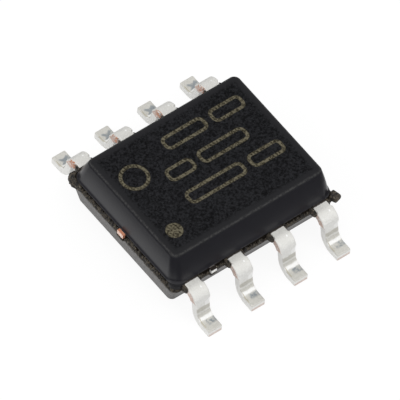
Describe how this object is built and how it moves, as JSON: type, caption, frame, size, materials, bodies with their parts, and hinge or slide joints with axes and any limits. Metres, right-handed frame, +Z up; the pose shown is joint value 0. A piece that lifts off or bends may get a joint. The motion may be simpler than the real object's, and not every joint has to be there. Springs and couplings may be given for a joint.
{
  "type": "small-outline integrated circuit package",
  "caption": "Surface-mount chip package: black moulded body with two rows of gull-wing leads, a chip on a lowered plate and bond wires inside.",
  "frame": {"origin": "middle of the footprint, on the plane that the feet stand on", "axes": "+X along the rows of leads, from lead 1 to lead 4; +Y across the package to the row of leads 5 to 8; +Z up from the board"},
  "size_m": [0.005, 0.006, 0.0017],
  "materials": {
    "mould_compound": "fine moulded grain on top, smooth sides",
    "tinned_lead": "matte tin plate over copper alloy",
    "lead_frame_copper": "bare cut copper alloy",
    "silver_adhesive": "cured silver-filled adhesive",
    "silicon": "polished",
    "bond_wire": "drawn copper"
  },
  "bodies": {
    "root": {"mould_body": "mould_compound", "lead_1": "tinned_lead", "lead_2": "tinned_lead", "lead_3": "tinned_lead", "lead_4": "tinned_lead", "lead_5": "tinned_lead", "lead_6": "tinned_lead", "lead_7": "tinned_lead", "lead_8": "tinned_lead", "die_pad": "lead_frame_copper", "die_attach": "silver_adhesive", "die": "silicon", "bond_wire_1": "bond_wire", "bond_wire_2": "bond_wire", "bond_wire_3": "bond_wire", "bond_wire_4": "bond_wire", "bond_wire_5": "bond_wire", "bond_wire_6": "bond_wire", "bond_wire_7": "bond_wire", "bond_wire_8": "bond_wire"}
  },
  "joints": []
}
